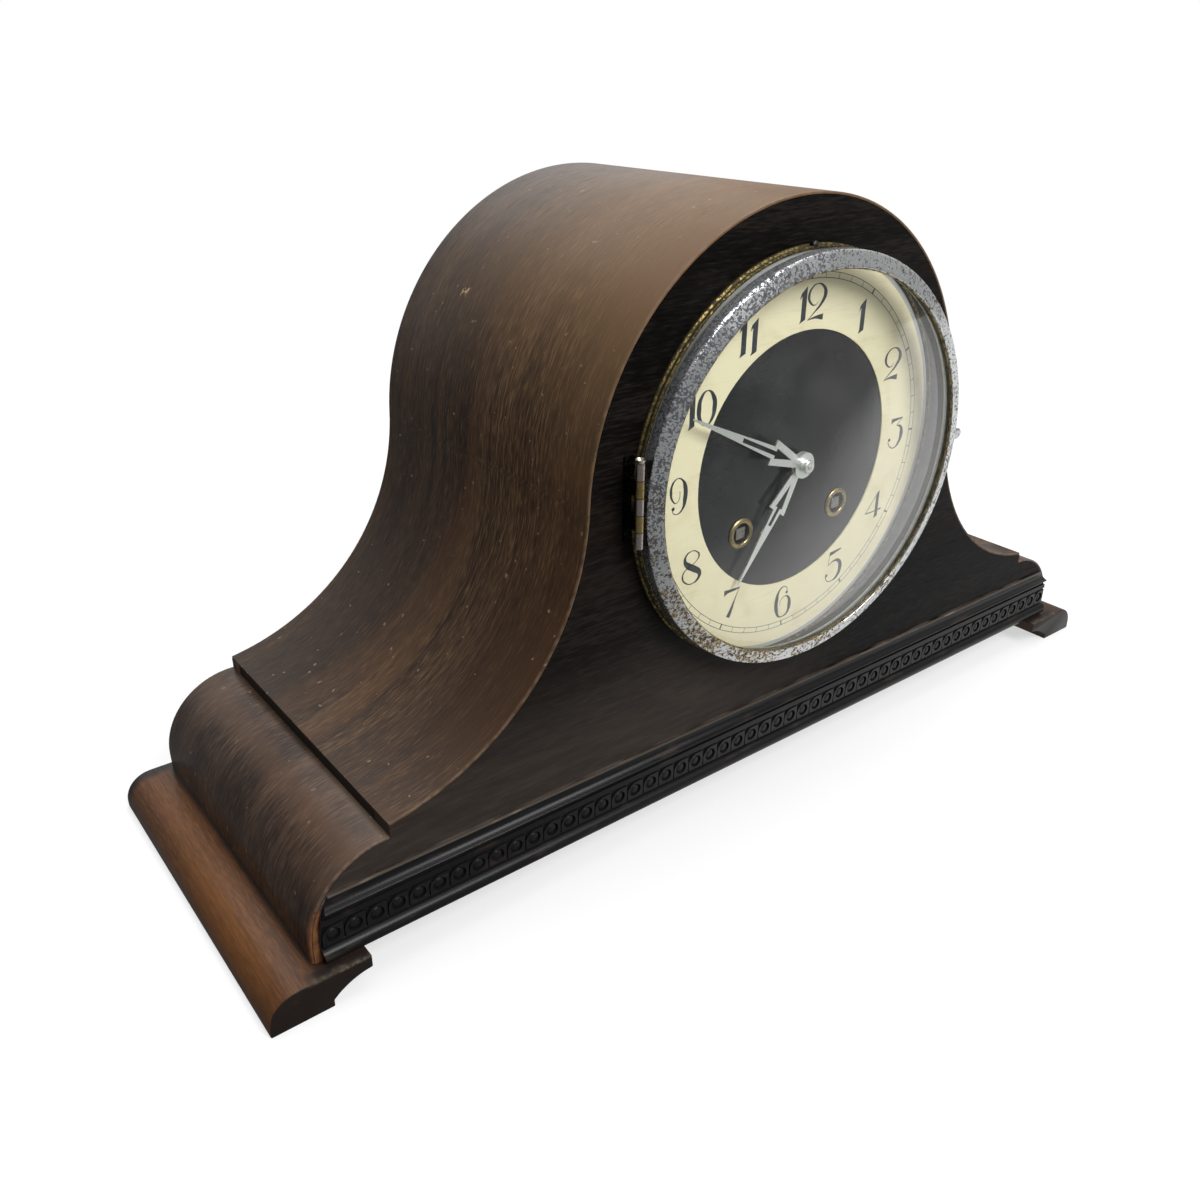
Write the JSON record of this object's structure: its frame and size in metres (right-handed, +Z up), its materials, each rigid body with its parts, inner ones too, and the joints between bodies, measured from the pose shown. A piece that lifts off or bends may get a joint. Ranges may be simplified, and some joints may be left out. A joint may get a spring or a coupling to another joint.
{
  "type": "mantel clock",
  "caption": "Hat-shaped wooden mantel clock with a hinged glazed bezel, Arabic dial, pierced hands, geared striking movement, pendulum, rod gongs and a back door.",
  "frame": {"origin": "middle of the bounding box at floor level, under both feet", "axes": "+Z up, -Y to the front where the dial faces, +X to the right as seen from the front"},
  "size_m": [0.45, 0.1671, 0.2347],
  "materials": {
    "walnut_veneer": "satin stained veneer",
    "walnut_foot": "satin stained wood",
    "dark_panel": "satin dark stained wood",
    "ebonised": "black semi-gloss",
    "raw_wood": "thinly stained wood",
    "chrome": "worn plating",
    "seat_brass": "aged brass",
    "door_brass": "dull brass",
    "glass": "clear",
    "dial_black": "satin graphite paint",
    "dial_cream": "aged cream paint",
    "hand_metal": "silvered",
    "plate_brass": "satin brass",
    "steel": "drawn steel",
    "iron": "black casting"
  },
  "bodies": {
    "case": {"front_panel": "dark_panel", "back_panel": "raw_wood", "hat_wrap": "raw_wood", "hat_veneer": "walnut_veneer", "shoulder_left": "raw_wood", "shoulder_right": "raw_wood", "shoulder_veneers": "walnut_veneer", "foot_left": "walnut_foot", "foot_right": "walnut_foot", "bottom_board": "raw_wood", "front_moulding": "ebonised", "bezel_seat_ring": "seat_brass", "bezel_hinge_fixed": "seat_brass", "bezel_hinge_pin": "chrome", "dial_plate": "dial_black", "chapter_ring": "dial_cream", "winding_grommets": "seat_brass", "front_plate": "plate_brass", "back_plate": "plate_brass", "pillars": "plate_brass", "pillar_nuts": "steel", "movement_posts": "plate_brass", "pendulum_cock": "plate_brass", "gong_block": "iron", "gong_rods": "steel", "door_hinge_fixed": "door_brass", "door_hinge_pins": "door_brass"},
    "door": {"back_door": "raw_wood", "door_hinge_moving": "door_brass", "door_knob": "door_brass"},
    "bezel": {"bezel_rim": "chrome", "bezel_glass": "glass", "glass_ring": "chrome", "bezel_hinge_moving": "chrome"},
    "minute": {"minute_hand": "hand_metal", "hand_nut": "hand_metal", "cannon_pinion": "plate_brass"},
    "hour": {"hour_hand": "hand_metal", "hour_wheel": "plate_brass"},
    "motion": {"minute_wheel": "plate_brass"},
    "time_drum": {"time_barrel": "plate_brass", "time_mainspring": "steel"},
    "time_arbor": {"time_winding_arbor": "steel"},
    "time_pawl": {"time_click": "steel"},
    "second": {"second_wheel": "plate_brass"},
    "centre": {"centre_wheel": "plate_brass"},
    "third": {"third_wheel": "plate_brass"},
    "escape": {"escape_wheel": "plate_brass"},
    "strike_drum": {"strike_barrel": "plate_brass", "strike_mainspring": "steel"},
    "strike_arbor": {"strike_winding_arbor": "steel"},
    "strike_pawl": {"strike_click": "steel"},
    "pins": {"pin_wheel": "plate_brass"},
    "lock": {"lock_wheel": "plate_brass"},
    "brake": {"fly": "plate_brass"},
    "hammer_set": {"hammers": "steel"},
    "escapement": {"anchor": "steel"},
    "pendulum": {"pendulum_rod": "steel", "pendulum_bob": "plate_brass"},
    "rating": {"rating_nut": "plate_brass"}
  },
  "joints": [
    {"name": "bezel_hinge", "type": "hinge", "parent": "case", "child": "bezel", "pos_m": [-0.0804, -0.06974, 0.1437], "axis": [0, 0, -1], "range_deg": [-3.1, 110]},
    {"name": "door_hinge", "type": "hinge", "parent": "case", "child": "door", "pos_m": [-0.062, 0.07606, 0.046], "axis": [0, 0, 1], "range_deg": [0, 110]},
    {"name": "minute_hand_turn", "type": "hinge", "parent": "case", "child": "minute", "pos_m": [0, -0.06173, 0.1402], "axis": [0, 1, 0], "continuous": true},
    {"name": "minute_wheel_turn", "type": "hinge", "parent": "case", "child": "motion", "pos_m": [0, -0.05174, 0.1522], "axis": [0, 1, 0], "continuous": true},
    {"name": "hour_hand_turn", "type": "hinge", "parent": "case", "child": "hour", "pos_m": [0, -0.05674, 0.1402], "axis": [0, 1, 0], "continuous": true},
    {"name": "escape_turn", "type": "hinge", "parent": "case", "child": "escape", "pos_m": [0, -0.03173, 0.16824], "axis": [0, 1, 0], "continuous": true},
    {"name": "third_turn", "type": "hinge", "parent": "case", "child": "third", "pos_m": [-0.00271, -0.03173, 0.15556], "axis": [0, 1, 0], "continuous": true},
    {"name": "centre_turn", "type": "hinge", "parent": "case", "child": "centre", "pos_m": [0, -0.03173, 0.1402], "axis": [0, 1, 0], "continuous": true},
    {"name": "second_turn", "type": "hinge", "parent": "case", "child": "second", "pos_m": [0.01726, -0.03173, 0.14164], "axis": [0, 1, 0], "continuous": true},
    {"name": "time_barrel_turn", "type": "hinge", "parent": "case", "child": "time_drum", "pos_m": [0.026, -0.03173, 0.118], "axis": [0, 1, 0], "continuous": true},
    {"name": "fly_turn", "type": "hinge", "parent": "case", "child": "brake", "pos_m": [-0.02375, -0.03173, 0.16697], "axis": [0, 1, 0], "continuous": true},
    {"name": "lock_turn", "type": "hinge", "parent": "case", "child": "lock", "pos_m": [-0.03035, -0.03173, 0.15554], "axis": [0, 1, 0], "continuous": true},
    {"name": "pin_wheel_turn", "type": "hinge", "parent": "case", "child": "pins", "pos_m": [-0.01921, -0.03173, 0.14227], "axis": [0, 1, 0], "continuous": true},
    {"name": "strike_barrel_turn", "type": "hinge", "parent": "case", "child": "strike_drum", "pos_m": [-0.026, -0.03173, 0.118], "axis": [0, 1, 0], "continuous": true},
    {"name": "time_winding", "type": "hinge", "parent": "case", "child": "time_arbor", "pos_m": [0.026, -0.05174, 0.118], "axis": [0, 1, 0], "continuous": true},
    {"name": "strike_winding", "type": "hinge", "parent": "case", "child": "strike_arbor", "pos_m": [-0.026, -0.05174, 0.118], "axis": [0, 1, 0], "continuous": true},
    {"name": "time_click_lift", "type": "hinge", "parent": "case", "child": "time_pawl", "pos_m": [0.014, -0.04773, 0.13], "axis": [0, -1, 0], "range_deg": [0, 9]},
    {"name": "strike_click_lift", "type": "hinge", "parent": "case", "child": "strike_pawl", "pos_m": [-0.038, -0.04773, 0.13], "axis": [0, -1, 0], "range_deg": [0, 9]},
    {"name": "hammer_lift", "type": "hinge", "parent": "case", "child": "hammer_set", "pos_m": [-0.05, 0.01826, 0.1102], "axis": [0, 1, 0], "range_deg": [0, 14]},
    {"name": "pendulum_swing", "type": "hinge", "parent": "case", "child": "pendulum", "pos_m": [0, 0.00247, 0.18324], "axis": [0, 1, 0], "range_deg": [-3.5, 3.5]},
    {"name": "anchor_rock", "type": "hinge", "parent": "case", "child": "escapement", "pos_m": [0, -0.01673, 0.18324], "axis": [0, 1, 0], "range_deg": [-3.5, 3.5]},
    {"name": "rating_nut_turn", "type": "hinge", "parent": "pendulum", "child": "rating", "pos_m": [0, 0.00247, 0.05044], "axis": [0, 0, 1], "continuous": true}
  ],
  "couplings": [
    {"joint": "minute_wheel_turn", "follows": "minute_hand_turn", "ratio": -0.33333},
    {"joint": "hour_hand_turn", "follows": "minute_hand_turn", "ratio": 0.083333},
    {"joint": "third_turn", "follows": "escape_turn", "ratio": -0.090909},
    {"joint": "centre_turn", "follows": "escape_turn", "ratio": 0.0075758},
    {"joint": "second_turn", "follows": "escape_turn", "ratio": -0.0012626},
    {"joint": "time_barrel_turn", "follows": "escape_turn", "ratio": 0.00021044},
    {"joint": "lock_turn", "follows": "fly_turn", "ratio": -0.1},
    {"joint": "pin_wheel_turn", "follows": "fly_turn", "ratio": 0.016667},
    {"joint": "strike_barrel_turn", "follows": "fly_turn", "ratio": -0.0027778},
    {"joint": "anchor_rock", "follows": "pendulum_swing", "ratio": 1}
  ]
}
